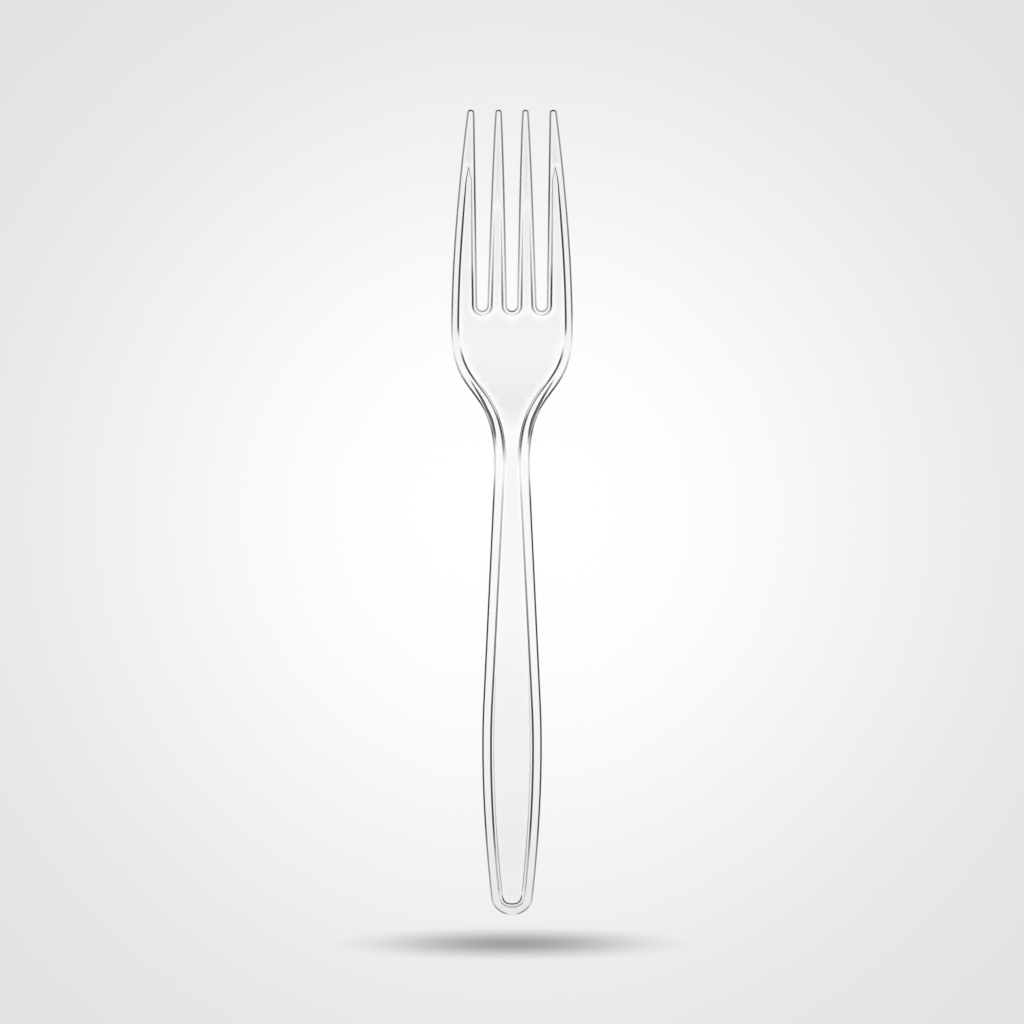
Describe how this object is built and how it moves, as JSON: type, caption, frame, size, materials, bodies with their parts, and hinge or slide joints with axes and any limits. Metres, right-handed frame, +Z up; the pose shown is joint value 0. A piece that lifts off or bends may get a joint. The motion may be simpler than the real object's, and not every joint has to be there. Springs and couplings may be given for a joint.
{
  "type": "clear plastic fork",
  "caption": "Clear disposable dinner fork with slim tines, a curved neck and a shallow recess framed by a raised rim.",
  "frame": {"origin": "middle of the fork's length and width, on the surface that it lies on", "axes": "+Y along the fork to the tine tips, +X across it, +Z up out of the eating side"},
  "size_m": [0.0272, 0.18, 0.0142],
  "materials": {
    "clear_plastic": "gloss"
  },
  "bodies": {
    "root": {"fork": "clear_plastic"}
  },
  "joints": []
}
